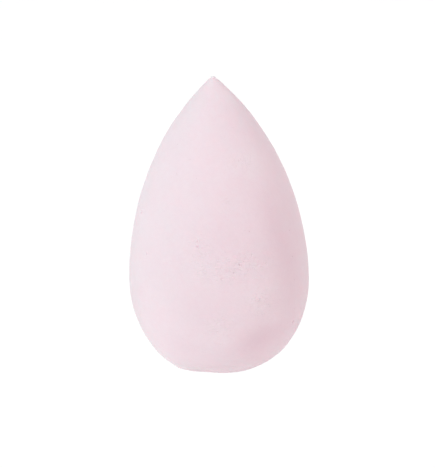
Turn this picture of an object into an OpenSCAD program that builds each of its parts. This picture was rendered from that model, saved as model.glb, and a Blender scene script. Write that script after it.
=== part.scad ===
// Teardrop makeup sponge: one solid body of moulded foam that stands on its own flattened sole.
// Its side view is a chain of arcs. Crown, neck, flank, belly and heel run into each other without a
// corner, and each arc lies inside the wider one that it follows.
// Sizes are in millimetres, +Z is up, and the origin is the centre of the sole.

/* [Overall] */
// Height from the sole to the top of the tip nub
body_h = 62.1; // [56:0.1:68]
// Diameter at the belly, the widest level
belly_d = 38; // [34:0.5:42]
// Height of the belly above the sole
belly_h = 19; // [17:0.5:22]

/* [Upper half] */
// Angle above level at which the flank arc hands over to the tighter neck arc
neck_angle = 25.5; // [16:0.5:30]
// Radius of the neck arc as a share of that of the flank arc
neck_share = 0.86; // [0.7:0.01:0.95]

/* [Lower half] */
// Angle below level at which the belly arc hands over to the tighter heel arc
heel_angle = 38.5; // [30:0.5:44]
// Radius of the heel arc as a share of that of the belly arc
heel_share = 0.645; // [0.5:0.005:0.8]
// Depth of the rounded bottom that is pressed flat into the sole
sole_cut = 0.5; // [0.2:0.1:1.2]

/* [Tip] */
// Radius of the rounded crown that closes the neck
crown_arc_r = 1.7; // [1.2:0.1:3]
// Diameter of the nub that the mould leaves on the crown
nub_d = 1.1; // [0.8:0.1:1.6]
// Height of the nub above the crown
nub_h = 0.3; // [0.2:0.1:0.8]
// Radius of the shallow dome that tops the nub
nub_dome_r = 0.9; // [0.9:0.1:2]

/* [Hidden] */

// Sides that stand for a full turn of any round shape
fine = 180;
// How far an arc is set clear of its wider neighbour, so that the two cross where one hands over
hair = 0.0005;
// Pale pink of the dyed foam
foam_pink = [0.94, 0.86, 0.89];

belly_r = belly_d / 2;
nub_r = nub_d / 2;
sole_level = 0;

// Crown: a circle on the axis, under the nub
crown_centre_level = body_h - nub_h - crown_arc_r;

// Flank arc and neck arc: the flank arc is upright at the belly, the neck arc leaves it in the same
// direction, and the neck arc ends in the same direction as the crown's circle. How far that circle
// lies inside the neck's gives a quadratic in the radius of the flank arc.
neck_cos = cos(neck_angle);
neck_sin = sin(neck_angle);
crown_rise = crown_centre_level - belly_h;
slimming = 1 - neck_share;
square_term = 2 * slimming * (1 - neck_cos);
run_term = belly_r * (1 - slimming * neck_cos);
rise_term = crown_rise * slimming * neck_sin;
linear_term = run_term + rise_term - crown_arc_r * neck_share;
level_term = belly_r * belly_r + crown_rise * crown_rise - crown_arc_r * crown_arc_r;
flank_arc_r = level_term / (linear_term + sqrt(linear_term * linear_term - square_term * level_term));
neck_arc_r = flank_arc_r * neck_share;
neck_level = belly_h + flank_arc_r * neck_sin;
neck_centre_x = belly_r - flank_arc_r + (flank_arc_r - neck_arc_r) * neck_cos;
neck_centre_level = belly_h + (flank_arc_r - neck_arc_r) * neck_sin;
crown_share = crown_arc_r / (neck_arc_r - crown_arc_r);
crown_level = crown_centre_level + crown_share * (crown_centre_level - neck_centre_level);

// Belly arc and heel arc: the belly arc is upright at the belly, the heel arc leaves it in the same
// direction, and the heel arc would bottom out one sole_cut below the sole
heel_cos = cos(heel_angle);
heel_sin = sin(heel_angle);
belly_arc_r = (belly_h + sole_cut) / (heel_sin + heel_share * (1 - heel_sin));
heel_arc_r = belly_arc_r * heel_share;
heel_level = belly_h - belly_arc_r * heel_sin;
heel_centre_x = belly_r - belly_arc_r + (belly_arc_r - heel_arc_r) * heel_cos;
heel_centre_level = heel_arc_r - sole_cut;

// Radius of the flat disc that the body stands on
sole_r = heel_centre_x + sqrt(heel_arc_r * heel_arc_r - heel_centre_level * heel_centre_level);

// The slice of a disc between two levels, filled in to the axis. Where an arc hands over, the slice
// of the wider disc ends and that of the tighter disc runs on, so every straight cut is hidden.
module arc_band(arc_r, centre_x, centre_level, low, high) {
    intersection() {
        translate([0, low])
            square([belly_d, high - low]);
        union() {
            translate([centre_x, centre_level])
                circle(r = arc_r, $fn = fine);
            if (centre_x > 0)
                translate([0, low])
                    square([centre_x, high - low]);
        }
    }
}

// A peg with a shallow domed top, rooted at belly level, of which only the nub stands clear of the crown
module nub_profile() {
    dome_level = body_h - nub_dome_r;
    intersection() {
        translate([0, belly_h])
            square([nub_r, body_h - belly_h]);
        union() {
            translate([0, dome_level])
                circle(r = nub_dome_r, $fn = fine);
            translate([0, belly_h])
                square([nub_dome_r, dome_level - belly_h]);
        }
    }
}

// The round top of the body, under the nub
module crown_profile() {
    arc_band(crown_arc_r + hair, 0, crown_centre_level, crown_centre_level, body_h);
}

// Between the flank and the crown
module neck_profile() {
    arc_band(neck_arc_r, neck_centre_x, neck_centre_level, belly_h, crown_level);
}

// From the belly up to the neck
module flank_profile() {
    arc_band(flank_arc_r - hair, belly_r - flank_arc_r, belly_h, belly_h, neck_level);
}

// From the belly down to the heel
module belly_profile() {
    arc_band(belly_arc_r, belly_r - belly_arc_r, belly_h, heel_level, neck_level);
}

// From the belly's lower end down to the sole
module heel_profile() {
    arc_band(heel_arc_r + hair, heel_centre_x, heel_centre_level, sole_level, belly_h);
}

// The whole body, turned about its axis
module sponge_body() {
    color(foam_pink)
        rotate_extrude($fn = fine)
            union() {
                nub_profile();
                crown_profile();
                neck_profile();
                flank_profile();
                belly_profile();
                heel_profile();
            }
}

sponge_body();

echo(flank_arc_r = flank_arc_r, neck_arc_r = neck_arc_r, belly_arc_r = belly_arc_r);
echo(heel_arc_r = heel_arc_r, heel_centre_x = heel_centre_x, sole_r = sole_r);
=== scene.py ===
"""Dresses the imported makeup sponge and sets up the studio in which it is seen.

The sponge is one body of moulded foam, so one piece is modelled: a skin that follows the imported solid's
own side view, with the blunt nub that the mould leaves on the tip, the softened rim of the sole, the
shallow press marks and swells of a soft body, the pores that are open at its surface, and the patches where
its grain lies open.

Lengths are in metres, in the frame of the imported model: +Z is up, the origin is the centre of the sole,
and the camera stands in front, on the -Y side. An azimuth is measured in degrees from the front towards +X.
"""

import logging
import math
import random
from dataclasses import dataclass
from enum import Enum
from typing import Mapping, Optional, Sequence, Union

import bmesh
import bpy
import numpy as np
from mathutils import Matrix, Vector, noise
from mathutils.kdtree import KDTree


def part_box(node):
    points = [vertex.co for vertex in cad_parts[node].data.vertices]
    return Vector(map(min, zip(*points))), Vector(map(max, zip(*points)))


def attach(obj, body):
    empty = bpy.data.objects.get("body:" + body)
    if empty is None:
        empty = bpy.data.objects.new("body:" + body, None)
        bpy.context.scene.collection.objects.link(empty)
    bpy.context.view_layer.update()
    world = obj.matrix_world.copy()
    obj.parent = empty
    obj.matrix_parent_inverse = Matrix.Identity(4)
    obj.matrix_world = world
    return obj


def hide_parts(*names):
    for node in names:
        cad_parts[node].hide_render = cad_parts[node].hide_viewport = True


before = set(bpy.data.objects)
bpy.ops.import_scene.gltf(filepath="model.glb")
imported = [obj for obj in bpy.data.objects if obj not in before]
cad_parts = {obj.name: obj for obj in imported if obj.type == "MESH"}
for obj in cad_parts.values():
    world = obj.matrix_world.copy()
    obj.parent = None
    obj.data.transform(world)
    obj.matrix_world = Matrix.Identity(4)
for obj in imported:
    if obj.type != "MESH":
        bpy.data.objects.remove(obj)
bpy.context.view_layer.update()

LOG = logging.getLogger("makeup_sponge")
MM = 0.001
FOAM_NODE = "sponge_body"
ROOT_BODY = "root"
PRESS_AND_PAINTED_SHADE = "press_and_painted_shade"
OPEN_GRAIN = "open_grain"
QUAD_CORNERS = 4

Colour = tuple[float, float, float]
WHITE: Colour = (1.0, 1.0, 1.0)
DAYLIGHT: Colour = (0.84, 1.0, 1.0)
WARM_FILL: Colour = (1.2, 1.0, 1.06)

# The curve by which a screen shows a linear value: a straight toe, and a power above it
SCREEN_TOP = 255
SCREEN_TOE = 0.04045
SCREEN_TOE_SLOPE = 12.92
SCREEN_LIFT = 0.055
SCREEN_POWER = 2.4


def shown_as(red: int, green: int, blue: int) -> Colour:
    """Turns a colour as a screen shows it, 0 to 255, into the linear values that a shader takes."""
    def linear(level: int) -> float:
        """Undoes the screen's curve for one channel."""
        share = level / SCREEN_TOP
        if share <= SCREEN_TOE:
            return share / SCREEN_TOE_SLOPE
        return ((share + SCREEN_LIFT) / (1 + SCREEN_LIFT)) ** SCREEN_POWER
    return linear(red), linear(green), linear(blue)


def heading(azimuth: float) -> Vector:
    """Gives the level direction at an azimuth, from the axis outwards."""
    turn = math.radians(azimuth)
    return Vector((math.sin(turn), -math.cos(turn), 0))


def eased(share: float) -> float:
    """Smooths a share at both of its ends, after holding it between 0 and 1."""
    held = min(1.0, max(0.0, share))
    return held * held * (3 - 2 * held)


class Sum(Enum):
    """The sums that a Math node is asked for."""

    ADD = "ADD"
    TAKE = "SUBTRACT"
    TIMES = "MULTIPLY"
    OVER = "DIVIDE"
    LARGER = "MAXIMUM"


class Channel:
    """A value socket of a shader tree, on which arithmetic adds Math nodes."""

    def __init__(self, tree: "ShaderTree", socket: bpy.types.NodeSocket) -> None:
        """Keeps the socket and the tree that it belongs to."""
        self.tree = tree
        self.socket = socket

    def _math(self, wanted: Sum, first: "Operand", second: "Operand") -> "Channel":
        """Adds one Math node.

        Args:
            wanted: The sum that the node works out.
            first: Its first value or link.
            second: Its second value or link.

        Returns:
            The node's result.
        """
        made = self.tree.node("ShaderNodeMath", {"operation": wanted.value}, {0: first, 1: second})
        return Channel(self.tree, made.outputs[0])

    def __add__(self, other: "Operand") -> "Channel":
        """Adds a value or channel to this one."""
        return self._math(Sum.ADD, self, other)

    def __sub__(self, other: "Operand") -> "Channel":
        """Takes a value or channel from this one."""
        return self._math(Sum.TAKE, self, other)

    def __rsub__(self, other: "Operand") -> "Channel":
        """Takes this channel from a value."""
        return self._math(Sum.TAKE, other, self)

    def __mul__(self, other: "Operand") -> "Channel":
        """Multiplies this channel by a value or channel."""
        return self._math(Sum.TIMES, self, other)

    def __truediv__(self, other: "Operand") -> "Channel":
        """Divides this channel by a value or channel."""
        return self._math(Sum.OVER, self, other)

    def at_least(self, floor: "Operand") -> "Channel":
        """Keeps this channel from falling under a floor."""
        return self._math(Sum.LARGER, self, floor)


Operand = Union[float, Channel]


class ShaderTree:
    """The node tree of a material or world, emptied and ready to be written."""

    def __init__(self, owner: Union[bpy.types.Material, bpy.types.World]) -> None:
        """Switches nodes on for the owner and clears what comes with them."""
        owner.use_nodes = True
        self.tree = owner.node_tree
        self.tree.nodes.clear()

    @staticmethod
    def _socket(sockets: Sequence, key: Union[int, str]) -> bpy.types.NodeSocket:
        """Finds a socket by its place, or by its identifier or name."""
        if isinstance(key, int):
            return sockets[key]
        return next(socket for socket in sockets if key in (socket.identifier, socket.name))

    def node(
        self,
        kind: str,
        settings: Optional[Mapping[str, object]] = None,
        inputs: Optional[Mapping[Union[int, str], object]] = None,
    ) -> bpy.types.Node:
        """Adds a node of any type.

        Args:
            kind: The node's type.
            settings: Its own settings, which are set before its sockets.
            inputs: A value, channel or socket for each input, by place, identifier or name.

        Returns:
            The new node.
        """
        made = self.tree.nodes.new(kind)
        for name, value in (settings or {}).items():
            setattr(made, name, value)
        for key, value in (inputs or {}).items():
            target = self._socket(made.inputs, key)
            source = value.socket if isinstance(value, Channel) else value
            if isinstance(source, bpy.types.NodeSocket):
                self.tree.links.new(source, target)
            elif target.type == "RGBA":
                target.default_value = (*source, 1.0)
            else:
                target.default_value = source
        return made

    def out(self, node: bpy.types.Node, key: Union[int, str] = 0) -> bpy.types.NodeSocket:
        """Gives one of a node's outputs."""
        return self._socket(node.outputs, key)

    def value(self, node: bpy.types.Node, key: Union[int, str] = 0) -> Channel:
        """Gives one of a node's outputs as a channel."""
        return Channel(self, self.out(node, key))

    def blend_colours(self, share: Operand, first: object, second: object) -> bpy.types.NodeSocket:
        """Mixes two colours.

        Args:
            share: How much of the second colour shows.
            first: A colour, or a socket that gives one.
            second: A colour, or a socket that gives one.

        Returns:
            The mixed colour.
        """
        inputs = {"Factor_Float": share, "A_Color": first, "B_Color": second}
        made = self.node("ShaderNodeMix", {"data_type": "RGBA"}, inputs)
        return self.out(made, "Result_Color")

    def seen_directly(self) -> Channel:
        """Marks the rays in which the camera sees a surface, straight or by way of metal or glass."""
        path = self.node("ShaderNodeLightPath")
        seen = self.value(path, "Is Camera Ray")
        for kind in ("Is Glossy Ray", "Is Transmission Ray"):
            seen = seen.at_least(self.value(path, kind))
        return seen


@dataclass(frozen=True)
class FoamFinish:
    """Matte, velvety foam of one pale pink, dyed right through, with fine grain and open pin-holes.

    Where the mesh says that the grain lies open, the foam is pitted like a cut sponge and painted a little
    paler, as painted light against the shade in its pits.
    Where it says that the foam is pressed, the pink is deeper, partly as the denser foam's own pink and
    partly as painted shade; its other tone marks are painted shade and painted light, with no relief under
    them.
    """

    name: str = "pale_pink_foam"
    pale_pink: Colour = shown_as(245, 228, 233)
    deep_pink: Colour = shown_as(226, 190, 202)
    # Painted shade: the deeper pink inside the pin-holes
    pore_painted_shade: Colour = shown_as(206, 162, 176)
    roughness: float = 0.92
    roughness_spread: float = 0.06
    specular: float = 0.25
    sheen: float = 0.3
    sheen_roughness: float = 0.45
    glow_through: float = 0.3
    glow_reach: float = 2.2 * MM
    glow_radius: Colour = (1.0, 0.5, 0.58)
    even_share: float = 0.14
    cloud_size: float = 7 * MM
    cloud_detail: float = 2.0
    cloud_share: float = 0.08
    fleck_size: float = 1.1 * MM
    fleck_detail: float = 3.0
    fleck_share: float = 0.13
    grain_size: float = 0.36 * MM
    grain_detail: float = 2.0
    # Painted shade: how much deeper the pink is in the grain's hollows
    grain_shade_share: float = 0.12
    grain_depth: float = 0.04 * MM
    nap_size: float = 1.3 * MM
    nap_detail: float = 1.0
    nap_depth: float = 0.03 * MM
    pin_spacing: float = 1.3 * MM
    pin_radius: float = 0.13 * MM
    pin_depth: float = 0.07 * MM
    pin_rarity: float = 0.55
    pin_least_share: float = 0.001
    # How much of that painted shade shows at a pin-hole's deepest point
    pin_shade_share: float = 0.5
    cell_spacing: float = 0.5 * MM
    cell_rim: float = 0.6
    cell_depth: float = 0.2 * MM
    # Painted light: how much paler the open grain is made, against the shade in its pits
    open_painted_light: float = 0.05

    def material(self) -> bpy.types.Material:
        """Builds the finish, with the tone and the open grain that the mesh carries.

        Returns:
            The material.
        """
        made = bpy.data.materials.new(self.name)
        tree = ShaderTree(made)
        place = tree.out(tree.node("ShaderNodeTexCoord"), "Object")
        clouds = self._noise(tree, place, self.cloud_size, self.cloud_detail)
        flecks = self._noise(tree, place, self.fleck_size, self.fleck_detail)
        grain = self._noise(tree, place, self.grain_size, self.grain_detail)
        nap = self._noise(tree, place, self.nap_size, self.nap_detail)
        pins = self._pins(tree, place)
        opened = tree.value(tree.node("ShaderNodeAttribute", {"attribute_name": OPEN_GRAIN}), "Fac")
        cells = tree.node("ShaderNodeTexVoronoi", inputs={"Vector": place, "Scale": 1 / self.cell_spacing})
        pits = (self.cell_rim - tree.value(cells, "Distance")).at_least(0.0) * opened
        # The press tone is partly the pressed foam's denser pink, and for the rest painted shade and painted
        # light
        pressed = tree.value(tree.node("ShaderNodeAttribute", {"attribute_name": PRESS_AND_PAINTED_SHADE}), "Fac")
        # Clouds and flecks are the foam's own uneven tone; the grain's term is painted shade in the hollows
        # that its relief sinks
        deep = clouds * self.cloud_share + flecks * self.fleck_share + (1 - grain) * self.grain_shade_share
        # The open grain is lifted paler: painted light against the shade of its pits
        deep = deep + pressed - opened * self.open_painted_light + self.even_share
        dyed = tree.blend_colours(deep, self.pale_pink, self.deep_pink)
        # Painted shade: the pin-holes are coloured a deeper pink where they sink in
        colour = tree.blend_colours(pins * self.pin_shade_share, dyed, self.pore_painted_shade)
        height = grain * self.grain_depth + nap * self.nap_depth
        height = height - pins * self.pin_depth - pits * self.cell_depth
        relief = tree.node("ShaderNodeBump", inputs={"Strength": 1.0, "Distance": 1.0, "Height": height})
        skin = tree.node("ShaderNodeBsdfPrincipled", inputs={
            "Base Color": colour,
            "Roughness": flecks * self.roughness_spread + (self.roughness - self.roughness_spread / 2),
            "Sheen Weight": self.sheen,
            "Sheen Roughness": self.sheen_roughness,
            "Subsurface Weight": self.glow_through,
            "Subsurface Radius": self.glow_radius,
            "Subsurface Scale": self.glow_reach,
            "Specular IOR Level": self.specular,
            "Normal": tree.out(relief),
        })
        tree.node("ShaderNodeOutputMaterial", inputs={"Surface": tree.out(skin)})
        return made

    @staticmethod
    def _noise(tree: ShaderTree, place: bpy.types.NodeSocket, size: float, detail: float) -> Channel:
        """Adds a soft three-dimensional noise.

        Args:
            tree: The tree to write in.
            place: The coordinates that it is read at.
            size: The size of its largest features.
            detail: How many finer layers lie over them.

        Returns:
            The noise, from 0 to 1.
        """
        inputs = {"Vector": place, "Scale": 1 / size, "Detail": detail}
        return tree.value(tree.node("ShaderNodeTexNoise", inputs=inputs))

    def _pins(self, tree: ShaderTree, place: bpy.types.NodeSocket) -> Channel:
        """Scatters round pin-holes of unlike sizes, at most one to a cell, and none in some cells.

        Args:
            tree: The tree to write in.
            place: The coordinates that they are read at.

        Returns:
            How deep each point lies in a hole, from 0 to 1.
        """
        cells = tree.node("ShaderNodeTexVoronoi", inputs={"Vector": place, "Scale": 1 / self.pin_spacing})
        draw = tree.node("ShaderNodeSeparateColor", inputs={"Color": tree.out(cells, "Color")})
        luck = (tree.value(draw, "Red") - self.pin_rarity).at_least(self.pin_least_share)
        radius = luck / (1 - self.pin_rarity) * self.pin_radius
        from_middle = tree.value(cells, "Distance") * self.pin_spacing / radius
        return (1 - from_middle * from_middle).at_least(0.0)


@dataclass(frozen=True)
class PaperFinish:
    """White studio paper, lit from below, which reads as pure white and still takes a faint shadow.

    The glow shares say how much of what leaves the paper is its own light: as the camera sees it, and as
    the foam does.
    """

    name: str = "white_paper"
    white: Colour = shown_as(222, 222, 222)
    glow: float = 1.07
    glow_seen: float = 0.93
    glow_felt: float = 0.6

    def material(self) -> bpy.types.Material:
        """Builds the finish.

        Returns:
            The material.
        """
        made = bpy.data.materials.new(self.name)
        tree = ShaderTree(made)
        paper = tree.node("ShaderNodeBsdfDiffuse", inputs={"Color": self.white})
        glow = tree.node("ShaderNodeEmission", inputs={"Strength": self.glow})
        share = tree.seen_directly() * (self.glow_seen - self.glow_felt) + self.glow_felt
        mixed = tree.node("ShaderNodeMixShader", inputs={0: share, 1: tree.out(paper), 2: tree.out(glow)})
        tree.node("ShaderNodeOutputMaterial", inputs={"Surface": tree.out(mixed)})
        return made


@dataclass(frozen=True)
class Arc:
    """A stretch of the side view: part of a circle, between two angles above level."""

    centre: tuple[float, float]
    radius: float
    start: float
    end: float
    points_in_arc: int = 240

    def points(self) -> np.ndarray:
        """Samples the arc, as rows of distance from the axis and height."""
        turn = np.linspace(self.start, self.end, self.points_in_arc)
        return np.array(self.centre) + self.radius * np.column_stack((np.cos(turn), np.sin(turn)))


@dataclass(frozen=True)
class SideView:
    """The sponge's side view, from the top of its nub to the middle of its sole.

    Crown, neck, flank, belly and heel are arcs that run into each other without a corner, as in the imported
    solid, and its small corners at the nub and the sole are rounded by a blur along the line, which fades
    out a short way from each.
    """

    height: float
    belly_radius: float
    belly_level: float = 19 * MM
    neck_angle: float = math.radians(25.5)
    neck_share: float = 0.86
    heel_angle: float = math.radians(38.5)
    heel_share: float = 0.645
    sole_cut: float = 0.5 * MM
    crown_radius: float = 1.7 * MM
    nub_radius: float = 0.55 * MM
    nub_height: float = 0.3 * MM
    nub_dome_radius: float = 0.9 * MM
    step: float = 0.02 * MM
    tip_softness: float = 0.05 * MM
    tip_reach: float = 2.4 * MM
    rim_softness: float = 0.28 * MM
    rim_reach: float = 3 * MM
    blur_spreads: int = 3
    fade_power: int = 4

    @property
    def crown_level(self) -> float:
        """The height of the middle of the crown's circle."""
        return self.height - self.nub_height - self.crown_radius

    def _upper_arcs(self) -> list[Arc]:
        """Works out the arcs above the belly.

        The flank's arc is upright at the belly, the neck's leaves it in the same direction, and the neck's
        ends in the same direction as the crown's circle. How far that circle lies inside the neck's gives
        a quadratic in the radius of the flank's.

        Returns:
            The crown, the neck and the flank, from the top down.
        """
        cosine, sine = math.cos(self.neck_angle), math.sin(self.neck_angle)
        rise, slimming = self.crown_level - self.belly_level, 1 - self.neck_share
        square = 2 * slimming * (1 - cosine)
        linear = self.belly_radius * (1 - slimming * cosine) + rise * slimming * sine
        linear -= self.crown_radius * self.neck_share
        level = self.belly_radius ** 2 + rise ** 2 - self.crown_radius ** 2
        flank = level / (linear + math.sqrt(linear ** 2 - square * level))
        neck = flank * self.neck_share
        flank_x = self.belly_radius - flank
        neck_centre = flank_x + (flank - neck) * cosine, self.belly_level + (flank - neck) * sine
        crown_angle = math.asin((self.crown_level - neck_centre[1]) / (neck - self.crown_radius))
        nub_root = math.acos(self.nub_radius / self.crown_radius)
        return [
            Arc((0, self.crown_level), self.crown_radius, nub_root, crown_angle),
            Arc(neck_centre, neck, crown_angle, self.neck_angle),
            Arc((flank_x, self.belly_level), flank, self.neck_angle, 0),
        ]

    def _lower_arcs(self) -> list[Arc]:
        """Works out the arcs under the belly.

        The belly's arc is upright at the belly, the heel's leaves it in the same direction, and the heel's
        would bottom out one sole cut below the sole.

        Returns:
            The belly and the heel, from the top down.
        """
        cosine, sine = math.cos(self.heel_angle), math.sin(self.heel_angle)
        belly = (self.belly_level + self.sole_cut) / (sine + self.heel_share * (1 - sine))
        heel = belly * self.heel_share
        heel_centre = self.belly_radius - belly + (belly - heel) * cosine, heel - self.sole_cut
        return [
            Arc((self.belly_radius - belly, self.belly_level), belly, 0, -self.heel_angle),
            Arc(heel_centre, heel, -self.heel_angle, -math.asin(heel_centre[1] / heel)),
        ]

    @property
    def sole_radius(self) -> float:
        """The radius of the flat that the sponge stands on."""
        return float(self._lower_arcs()[-1].points()[-1, 0])

    def _soften(
        self, line: np.ndarray, place: tuple[float, float], softness: float, reach: float
    ) -> np.ndarray:
        """Rounds the corners near one place.

        Args:
            line: Evenly spaced points of the side view.
            place: The middle of the stretch to round.
            softness: The spread of the blur along the line.
            reach: How far from the place the blur fades out.

        Returns:
            The rounded line.
        """
        half = int(self.blur_spreads * softness / self.step)
        weights = np.exp(-0.5 * (np.arange(-half, half + 1) * self.step / softness) ** 2)
        weights /= weights.sum()
        flipped = line * (-1, 1)
        padded = np.concatenate((flipped[half:0:-1], line, flipped[-2:-half - 2:-1]))
        blurred = np.column_stack([np.convolve(column, weights, "valid") for column in padded.T])
        share = np.exp(-((np.linalg.norm(line - place, axis=1) / reach) ** self.fade_power))
        return line + share[:, None] * (blurred - line)

    def outline(self) -> np.ndarray:
        """Samples the side view evenly, with its small corners rounded.

        Returns:
            Rows of distance from the axis and height, one step apart, from the nub's top to the middle of
            the sole.
        """
        dome_end = math.acos(self.nub_radius / self.nub_dome_radius)
        dome = Arc((0, self.height - self.nub_dome_radius), self.nub_dome_radius, math.pi / 2, dome_end)
        arcs = [dome, *self._upper_arcs(), *self._lower_arcs()]
        line = np.concatenate(([(0, self.height)], *(arc.points() for arc in arcs), [(0, 0)]))
        along = np.concatenate(([0], np.cumsum(np.linalg.norm(np.diff(line, axis=0), axis=1))))
        even = np.linspace(0, along[-1], int(along[-1] / self.step) + 1)
        line = np.column_stack([np.interp(even, along, column) for column in line.T])
        line = self._soften(line, (0, self.height), self.tip_softness, self.tip_reach)
        line = self._soften(line, (self.sole_radius, 0), self.rim_softness, self.rim_reach)
        line[0, 0] = line[-1, 0] = 0
        return line


@dataclass(frozen=True)
class PressMark:
    """A place where the foam is pressed in, or swells where the depth is negative.

    The tone deepens or pales the pink: in the dent partly as the denser foam's own pink and partly as
    painted shade, on the swell as painted light, and where a mark has no depth as painted shade or painted
    light alone.
    The grain says how far the skin is open there. The slant turns the mark about its middle: its long way
    rises towards +X. Into the body it fades out over its half length times the through share, and so it
    spares the far side.
    """

    azimuth: float
    level: float
    half_length: float
    half_width: float
    slant: float = 0.0
    depth: float = 0.0
    tone: float = 0.0
    grain: float = 0.0
    through_share: float = 2.0

    def strength(self, point: Vector, middle: Vector, outward: Vector) -> float:
        """Works out how strong the mark is at a point of the skin.

        Args:
            point: The point.
            middle: The mark's middle on the skin.
            outward: The skin's direction out of the body there.

        Returns:
            A share, which is 1 in the middle of the mark.
        """
        level = Vector((0, 0, 1)).cross(outward).normalized()
        climb = outward.cross(level)
        turn = math.radians(self.slant)
        away = point - middle
        along = away.dot(level) * math.cos(turn) + away.dot(climb) * math.sin(turn)
        over = away.dot(climb) * math.cos(turn) - away.dot(level) * math.sin(turn)
        through = away.dot(outward)
        spread = (along / self.half_length) ** 2 + (over / self.half_width) ** 2
        return math.exp(-spread - (through / (self.through_share * self.half_length)) ** 2)


@dataclass(frozen=True)
class Pore:
    """A gas bubble that is open at the surface, as a small round hole."""

    azimuth: float
    level: float
    radius: float


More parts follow.
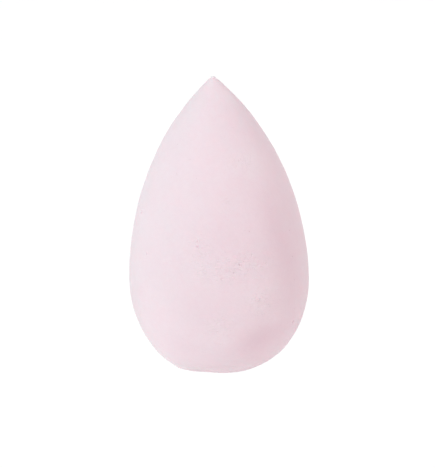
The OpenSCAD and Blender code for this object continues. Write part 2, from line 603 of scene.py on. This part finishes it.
@dataclass(frozen=True)
class SpongeBody:
    """The whole sponge: a teardrop of soft foam.

    Each of its marks is written as azimuth, level, half length and half width, and then what it does.

    Attributes:
        dents: The dent low on the right of the front, and the swell above it. The dent's tone is partly the
            denser foam's pink and partly painted shade, and the swell's tone is painted light.
        painted_light_and_shade: Painted shade and painted light, with no relief: places where the pink is
            made a little deeper where less light falls, or paler where more light falls.
        rim_marks: Where the bottom rim is lifted, and where the body swells beside it.
        open_patches: Places where the grain lies open. The last two are on the back.
        seen_pores: The pores of the front, each at its own place.
        stray_pores: How many others are scattered all over.
    """

    view: SideView
    finish: FoamFinish = FoamFinish()
    name: str = "foam_body"
    cuts: int = 107
    tip_crowding: float = 9.0
    tip_crowd_reach: float = 2 * MM
    rim_crowding: float = 1.2
    rim_crowd_reach: float = 2 * MM
    sole_shift: float = -0.36 * MM
    shift_height: float = 7.5 * MM
    waves: Sequence[tuple[float, float]] = (
        (9 * MM, 0.07 * MM),
        (3.5 * MM, 0.03 * MM),
        (1.5 * MM, 0.012 * MM),
    )
    # The dent's deeper tone is partly the pressed foam's denser pink and partly painted shade; the swell's
    # paler tone is painted light.
    dents: Sequence[PressMark] = (
        PressMark(30.5, 8.2 * MM, 5 * MM, 3.2 * MM, slant=24, depth=0.6 * MM, tone=0.27),
        PressMark(28, 18 * MM, 4.5 * MM, 3.2 * MM, slant=20, depth=-0.25 * MM, tone=-0.12),
    )
    # Painted shade and painted light: tone with no relief, deeper where the skin gets a little less light
    # and paler where it gets more, at the lifted bottom rim too.
    painted_light_and_shade: Sequence[PressMark] = (
        PressMark(45, 29 * MM, 10 * MM, 2.8 * MM, slant=105, tone=0.13),
        PressMark(34, 44.5 * MM, 5 * MM, 4.5 * MM, tone=-0.12),
        PressMark(3, 31 * MM, 4 * MM, 7 * MM, tone=0.07),
        PressMark(-8, 15.3 * MM, 5 * MM, 4 * MM, tone=0.08),
        PressMark(75, 9 * MM, 5 * MM, 4 * MM, tone=0.1),
        PressMark(72, 20 * MM, 3.5 * MM, 7 * MM, tone=-0.1),
        PressMark(38, 13 * MM, 3 * MM, 1.8 * MM, tone=-0.1),
        PressMark(1, 8.5 * MM, 2.5 * MM, 2.5 * MM, tone=-0.08),
        PressMark(-30, 7.5 * MM, 3 * MM, 2.5 * MM, tone=0.07),
        PressMark(28, 1.5 * MM, 3 * MM, 1.5 * MM, tone=-0.1),
        PressMark(-45, 0.8 * MM, 3 * MM, 1.2 * MM, tone=-0.3),
        PressMark(45, 59 * MM, 2.5 * MM, 3 * MM, tone=-0.2),
    )
    rim_marks: Sequence[PressMark] = (
        PressMark(-30, 0.3 * MM, 3.4 * MM, 1.8 * MM, depth=0.62 * MM),
        PressMark(-72, 0.6 * MM, 1.8 * MM, 1.3 * MM, depth=-0.2 * MM),
        PressMark(56, 0.4 * MM, 2 * MM, 1 * MM, depth=0.16 * MM),
        PressMark(85, 3.8 * MM, 4 * MM, 2 * MM, depth=-0.1 * MM),
    )
    open_patches: Sequence[PressMark] = (
        PressMark(27, 16 * MM, 3.2 * MM, 3.4 * MM, grain=0.95),
        PressMark(-2, 11.3 * MM, 3.4 * MM, 3.4 * MM, grain=0.95),
        PressMark(26, 44.9 * MM, 3.6 * MM, 2.6 * MM, grain=1),
        PressMark(7, 36.8 * MM, 2 * MM, 2.4 * MM, grain=0.9),
        PressMark(-13, 28.7 * MM, 2.2 * MM, 3.4 * MM, grain=0.8),
        PressMark(17, 23.9 * MM, 6.5 * MM, 3.2 * MM, grain=0.75),
        PressMark(-8, 23 * MM, 5 * MM, 2.8 * MM, grain=0.65),
        PressMark(24, 22 * MM, 12 * MM, 12 * MM, grain=0.25),
        PressMark(150, 25 * MM, 7 * MM, 4 * MM, slant=30, grain=0.65),
        PressMark(-135, 38 * MM, 4 * MM, 5 * MM, grain=0.6),
    )
    seen_pores: Sequence[Pore] = (
        Pore(azimuth=-34.5, level=43 * MM, radius=0.18 * MM),
        Pore(azimuth=-68, level=34.7 * MM, radius=0.37 * MM),
        Pore(azimuth=-53.5, level=26.5 * MM, radius=0.27 * MM),
        Pore(azimuth=7, level=37.8 * MM, radius=0.2 * MM),
        Pore(azimuth=-13, level=29.6 * MM, radius=0.24 * MM),
        Pore(azimuth=-13.5, level=28.4 * MM, radius=0.33 * MM),
        Pore(azimuth=13.5, level=24.6 * MM, radius=0.2 * MM),
        Pore(azimuth=9.5, level=23 * MM, radius=0.2 * MM),
        Pore(azimuth=1.5, level=21.7 * MM, radius=0.26 * MM),
        Pore(azimuth=21.5, level=26.2 * MM, radius=0.22 * MM),
        Pore(azimuth=31, level=24.4 * MM, radius=0.19 * MM),
        Pore(azimuth=25, level=17 * MM, radius=0.3 * MM),
        Pore(azimuth=55, level=25 * MM, radius=0.19 * MM),
        Pore(azimuth=60, level=10.9 * MM, radius=0.32 * MM),
    )
    stray_pores: int = 48
    stray_radii: tuple[float, float] = (0.10 * MM, 0.19 * MM)
    pore_depth_share: float = 0.9
    pore_bowl_power: float = 1.5
    pore_cuts: int = 3
    pore_margin: float = 0.35 * MM
    aiming_start_share: float = 2.0
    aiming_steps: int = 12
    seed: int = 11

    def build(self) -> bpy.types.Object:
        """Models the sponge and gives it its finish.

        Returns:
            The finished piece.
        """
        grid = self._cube_grid()
        self._wrap(grid)
        self._soften_shape(grid)
        self._open_pores(grid)
        bmesh.ops.recalc_face_normals(grid, faces=grid.faces)
        mesh = bpy.data.meshes.new(self.name)
        grid.to_mesh(mesh)
        grid.free()
        mesh.polygons.foreach_set("use_smooth", [True] * len(mesh.polygons))
        mesh.materials.append(self.finish.material())
        piece = bpy.data.objects.new(self.name, mesh)
        bpy.context.scene.collection.objects.link(piece)
        return piece

    def _cube_grid(self) -> bmesh.types.BMesh:
        """Cuts the faces of a cube from -1 to 1 into an even grid, which wraps a body without a pole."""
        grid = bmesh.new()
        bmesh.ops.create_cube(grid, size=2)
        bmesh.ops.subdivide_edges(grid, edges=grid.edges[:], cuts=self.cuts, use_grid_fill=True)
        return grid

    def _wrap(self, grid: bmesh.types.BMesh) -> None:
        """Wraps the grid round the side view.

        Equal areas of the ball go to equal areas of the skin, but for a finer mesh at the tip and the rim.

        Args:
            grid: The cube's grid, which is moved onto the body.
        """
        line = self.view.outline()
        step = np.linalg.norm(np.diff(line, axis=0), axis=1)
        along = np.concatenate(([0], np.cumsum(step)))
        middle = (along[1:] + along[:-1]) / 2
        rim = along[np.argmin(np.linalg.norm(line - (self.view.sole_radius, 0), axis=1))]
        crowd = 1 + self.tip_crowding * np.exp(-((middle / self.tip_crowd_reach) ** 2))
        crowd += self.rim_crowding * np.exp(-(((middle - rim) / self.rim_crowd_reach) ** 2))
        area = np.concatenate(([0], np.cumsum((line[1:, 0] + line[:-1, 0]) * step * crowd)))
        polar = np.arccos(1 - 2 * area / area[-1])

        # The tangent makes the angles between the cube's rows even, as seen from its middle
        cube = np.array([corner.co for corner in grid.verts])
        ball = np.tan(cube * math.pi / 4)
        ball /= np.linalg.norm(ball, axis=1)[:, None]
        place = np.interp(np.arccos(np.clip(ball[:, 2], -1, 1)), polar, along)
        out = np.interp(place, along, line[:, 0])
        up = np.interp(place, along, line[:, 1])
        turn = np.arctan2(ball[:, 1], ball[:, 0])
        for corner, x, y, z in zip(grid.verts, out * np.cos(turn), out * np.sin(turn), up):
            corner.co = (x, y, z)
        grid.normal_update()

    def _on_skin(self, tree: KDTree, grid: bmesh.types.BMesh, azimuth: float, level: float) -> int:
        """Finds the grid's corner nearest to a place on the skin.

        Args:
            tree: The grid's corners, by place.
            grid: The wrapped grid.
            azimuth: The place's direction, in degrees from the front.
            level: The place's height.

        Returns:
            The corner's index.
        """
        aim, middle = heading(azimuth), Vector((0, 0, level))
        target = middle + aim * (self.aiming_start_share * self.view.belly_radius)
        for _ in range(self.aiming_steps):
            index = tree.find(target)[1]
            found = grid.verts[index].co
            target = middle + aim * math.hypot(found.x, found.y)
        return index

    @staticmethod
    def _corner_tree(grid: bmesh.types.BMesh) -> KDTree:
        """Indexes the grid's corners by place."""
        tree = KDTree(len(grid.verts))
        for index, corner in enumerate(grid.verts):
            tree.insert(corner.co, index)
        tree.balance()
        return tree

    def _soften_shape(self, grid: bmesh.types.BMesh) -> None:
        """Moves the skin as soft foam lies: uneven by a hair, pressed in places, and leaning on its sole.

        Args:
            grid: The wrapped grid, which is moved.
        """
        grid.verts.ensure_lookup_table()
        tree = self._corner_tree(grid)
        marks = []
        for mark in (*self.dents, *self.painted_light_and_shade, *self.rim_marks, *self.open_patches):
            corner = grid.verts[self._on_skin(tree, grid, mark.azimuth, mark.level)]
            marks.append((mark, corner.co.copy(), corner.normal.copy()))
        moves = []
        # This layer carries the dents' denser pink together with painted shade and painted light from the
        # tone marks
        press_and_shade_tones = grid.verts.layers.float.new(PRESS_AND_PAINTED_SHADE)
        grains = grid.verts.layers.float.new(OPEN_GRAIN)
        for corner in grid.verts:
            free = eased(corner.co.z / self.shift_height)
            strengths = [mark.strength(corner.co, middle, outward) for mark, middle, outward in marks]
            push = sum(share * mark.depth for share, (mark, _, _) in zip(strengths, marks))
            corner[press_and_shade_tones] = sum(share * mark.tone for share, (mark, _, _) in zip(strengths, marks))
            corner[grains] = sum(share * mark.grain for share, (mark, _, _) in zip(strengths, marks))
            swell = sum(noise.noise(corner.co / size) * depth for size, depth in self.waves)
            tip = min(1.0, (self.view.height - corner.co.z) / self.view.tip_reach)
            lean = Vector((self.sole_shift * (1 - free), 0, 0))
            moves.append(corner.normal * (swell * free * tip - push) + lean)
        for corner, move in zip(grid.verts, moves):
            corner.co += move
            corner.co.z = max(0.0, corner.co.z)
        grid.normal_update()

    def _open_pores(self, grid: bmesh.types.BMesh) -> None:
        """Opens round pores.

        The mesh is refined round each pore, the faces that this leaves with more than four corners are
        split, and the pore is pressed in as a bowl.

        Args:
            grid: The shaped grid, which is refined and moved.
        """
        grid.verts.ensure_lookup_table()
        tree = self._corner_tree(grid)
        rng = random.Random(self.seed)
        pores = []
        for pore in self.seen_pores:
            index = self._on_skin(tree, grid, pore.azimuth, pore.level)
            pores.append((grid.verts[index].co.copy(), grid.verts[index].normal.copy(), pore.radius))
        for _ in range(self.stray_pores):
            corner = grid.verts[rng.randrange(len(grid.verts))]
            pores.append((corner.co.copy(), corner.normal.copy(), rng.uniform(*self.stray_radii)))

        near = KDTree(len(pores))
        for index, (middle, _, _) in enumerate(pores):
            near.insert(middle, index)
        near.balance()
        # The keys of a dict keep their order, so that each run gives the same mesh
        edges = {}
        for face in grid.faces:
            _, index, gap = near.find(face.calc_center_median())
            if gap < pores[index][2] + self.pore_margin:
                edges.update(dict.fromkeys(face.edges))
        bmesh.ops.subdivide_edges(grid, edges=list(edges), cuts=self.pore_cuts, use_grid_fill=True)
        crowded = [face for face in grid.faces if len(face.verts) > QUAD_CORNERS]
        bmesh.ops.triangulate(grid, faces=crowded, ngon_method="BEAUTY")

        for corner in grid.verts:
            middle, index, _ = near.find(corner.co)
            _, outward, radius = pores[index]
            away = corner.co - middle
            across = (away - outward * away.dot(outward)).length / radius
            if across < 1:
                bowl = (1 - across * across) ** self.pore_bowl_power
                corner.co -= outward * (radius * self.pore_depth_share * bowl)
        grid.normal_update()


@dataclass(frozen=True)
class Softbox:
    """A square lamp behind a diffuser, which faces the object."""

    name: str
    azimuth: float
    level: float
    watts: float
    distance: float = 0.7
    side: float = 0.4
    colour: Colour = WHITE

    def build(self, target: Vector) -> bpy.types.Object:
        """Hangs the lamp.

        Args:
            target: The point that it faces.

        Returns:
            The lamp's object.
        """
        lamp = bpy.data.lights.new(self.name, "AREA")
        lamp.shape = "SQUARE"
        lamp.size = self.side
        lamp.energy = self.watts
        lamp.color = self.colour
        made = bpy.data.objects.new(self.name, lamp)
        made.location = heading(self.azimuth) * self.distance + Vector((0, 0, self.level))
        made.rotation_euler = (target - made.location).to_track_quat("-Z", "Y").to_euler()
        made.visible_camera = False
        bpy.context.scene.collection.objects.link(made)
        return made


@dataclass(frozen=True)
class LightTent:
    """Soft light that comes evenly from all sides through white cloth."""

    name: str = "light_tent"
    light: Colour = (0.27, 0.24, 0.235)
    seen: Colour = WHITE

    def build(self) -> None:
        """Makes the tent the scene's world. Past the floor the camera sees pure white."""
        world = bpy.data.worlds.new(self.name)
        bpy.context.scene.world = world
        tree = ShaderTree(world)
        light = tree.node("ShaderNodeBackground", inputs={"Color": self.light})
        seen = tree.node("ShaderNodeBackground", inputs={"Color": self.seen})
        mixed = tree.node("ShaderNodeMixShader", inputs={
            0: tree.seen_directly(), 1: tree.out(light), 2: tree.out(seen),
        })
        tree.node("ShaderNodeOutputWorld", inputs={"Surface": tree.out(mixed)})


@dataclass(frozen=True)
class PhotoCamera:
    """The camera, set where the photograph was taken from.

    The axis point at the anchor's height is seen at the anchor's pixel of the photograph's frame, where
    the first pixel's middle is at zero. The belly's width there gives the size of a pixel.
    """

    name: str = "photo_camera"
    elevation: float = math.radians(7)
    roll: float = math.radians(1.77)
    distance: float = 0.6
    anchor_height: float = 30 * MM
    anchor_pixel: tuple[float, float] = (217.15, 227.56)
    frame_pixels: tuple[int, int] = (435, 468)
    belly_width: float = 38 * MM
    belly_pixels: float = 179.95
    sensor: float = 36.0
    clip: tuple[float, float] = (0.01, 50.0)

    @property
    def pixel(self) -> float:
        """The size of a pixel at the axis."""
        return self.belly_width / self.belly_pixels

    def build(self) -> bpy.types.Object:
        """Places the camera and makes it the scene's.

        Returns:
            The camera's object.
        """
        sine, cosine = math.sin(self.elevation), math.cos(self.elevation)
        back, level, climb = Vector((0, -cosine, sine)), Vector((1, 0, 0)), Vector((0, sine, cosine))
        right = level * math.cos(self.roll) - climb * math.sin(self.roll)
        up = level * math.sin(self.roll) + climb * math.cos(self.roll)
        width, height = self.frame_pixels
        aside = (width - 1) / 2 - self.anchor_pixel[0]
        above = self.anchor_pixel[1] - (height - 1) / 2
        aim = Vector((0, 0, self.anchor_height)) + (right * aside + up * above) * self.pixel
        lens = bpy.data.cameras.new(self.name)
        lens.sensor_fit = "VERTICAL"
        lens.sensor_height = self.sensor
        lens.lens = self.sensor * self.distance / (height * self.pixel)
        lens.clip_start, lens.clip_end = self.clip
        made = bpy.data.objects.new(self.name, lens)
        turned = Matrix((right, up, back)).transposed().to_4x4()
        made.matrix_world = Matrix.Translation(aim + back * self.distance) @ turned
        bpy.context.scene.collection.objects.link(made)
        bpy.context.scene.camera = made
        return made


@dataclass(frozen=True)
class Studio:
    """A pale, softly lit set: a white floor in a light tent, with softboxes round it.

    Cool daylight comes from the left, from above and a little from behind on the right. A weaker, warmer
    fill comes from the front on the right, and plain light from straight behind.
    """

    paper: PaperFinish = PaperFinish()
    floor_name: str = "studio_floor"
    floor_side: float = 24.0
    tent: LightTent = LightTent()
    lamps: Sequence[Softbox] = (
        Softbox("key_softbox", azimuth=-40, level=0.25, watts=2.65, colour=DAYLIGHT),
        Softbox("side_softbox", azimuth=-100, level=0.2, watts=0.68, colour=DAYLIGHT),
        Softbox("top_softbox", azimuth=0, level=0.75, watts=1.7, distance=0.02, colour=DAYLIGHT),
        Softbox("rim_softbox", azimuth=125, level=0.35, watts=0.42, colour=DAYLIGHT),
        Softbox("back_softbox", azimuth=180, level=0.12, watts=1.7),
        Softbox("fill_softbox", azimuth=60, level=0.34, watts=1.29, colour=WARM_FILL),
    )
    camera: PhotoCamera = PhotoCamera()

    def build(self, target: Vector) -> None:
        """Lays the floor, lights the set and places the camera.

        Args:
            target: The middle of the object, which the lamps face.
        """
        self._floor()
        self.tent.build()
        for lamp in self.lamps:
            lamp.build(target)
        self.camera.build()
        bpy.context.scene.view_settings.view_transform = "Standard"

    def _floor(self) -> None:
        """Lays the floor under the sole."""
        sheet = bmesh.new()
        bmesh.ops.create_grid(sheet, x_segments=1, y_segments=1, size=self.floor_side / 2)
        mesh = bpy.data.meshes.new(self.floor_name)
        sheet.to_mesh(mesh)
        sheet.free()
        mesh.materials.append(self.paper.material())
        floor = bpy.data.objects.new(self.floor_name, mesh)
        bpy.context.scene.collection.objects.link(floor)


def main() -> None:
    """Builds the sponge, hands it to the frame, and sets the studio round it."""
    logging.basicConfig(level=logging.INFO, format="%(name)s: %(message)s")
    low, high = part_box(FOAM_NODE)
    view = SideView(height=high.z - low.z, belly_radius=(high.x - low.x) / 2)
    body = SpongeBody(view).build()
    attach(body, ROOT_BODY)
    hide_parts(FOAM_NODE)
    LOG.info("%s: %d faces, finish %s", body.name, len(body.data.polygons), body.data.materials[0].name)
    Studio().build(target=(low + high) / 2)
    LOG.info("studio: floor, light tent, softboxes and camera")


if __name__ == "__main__":
    main()
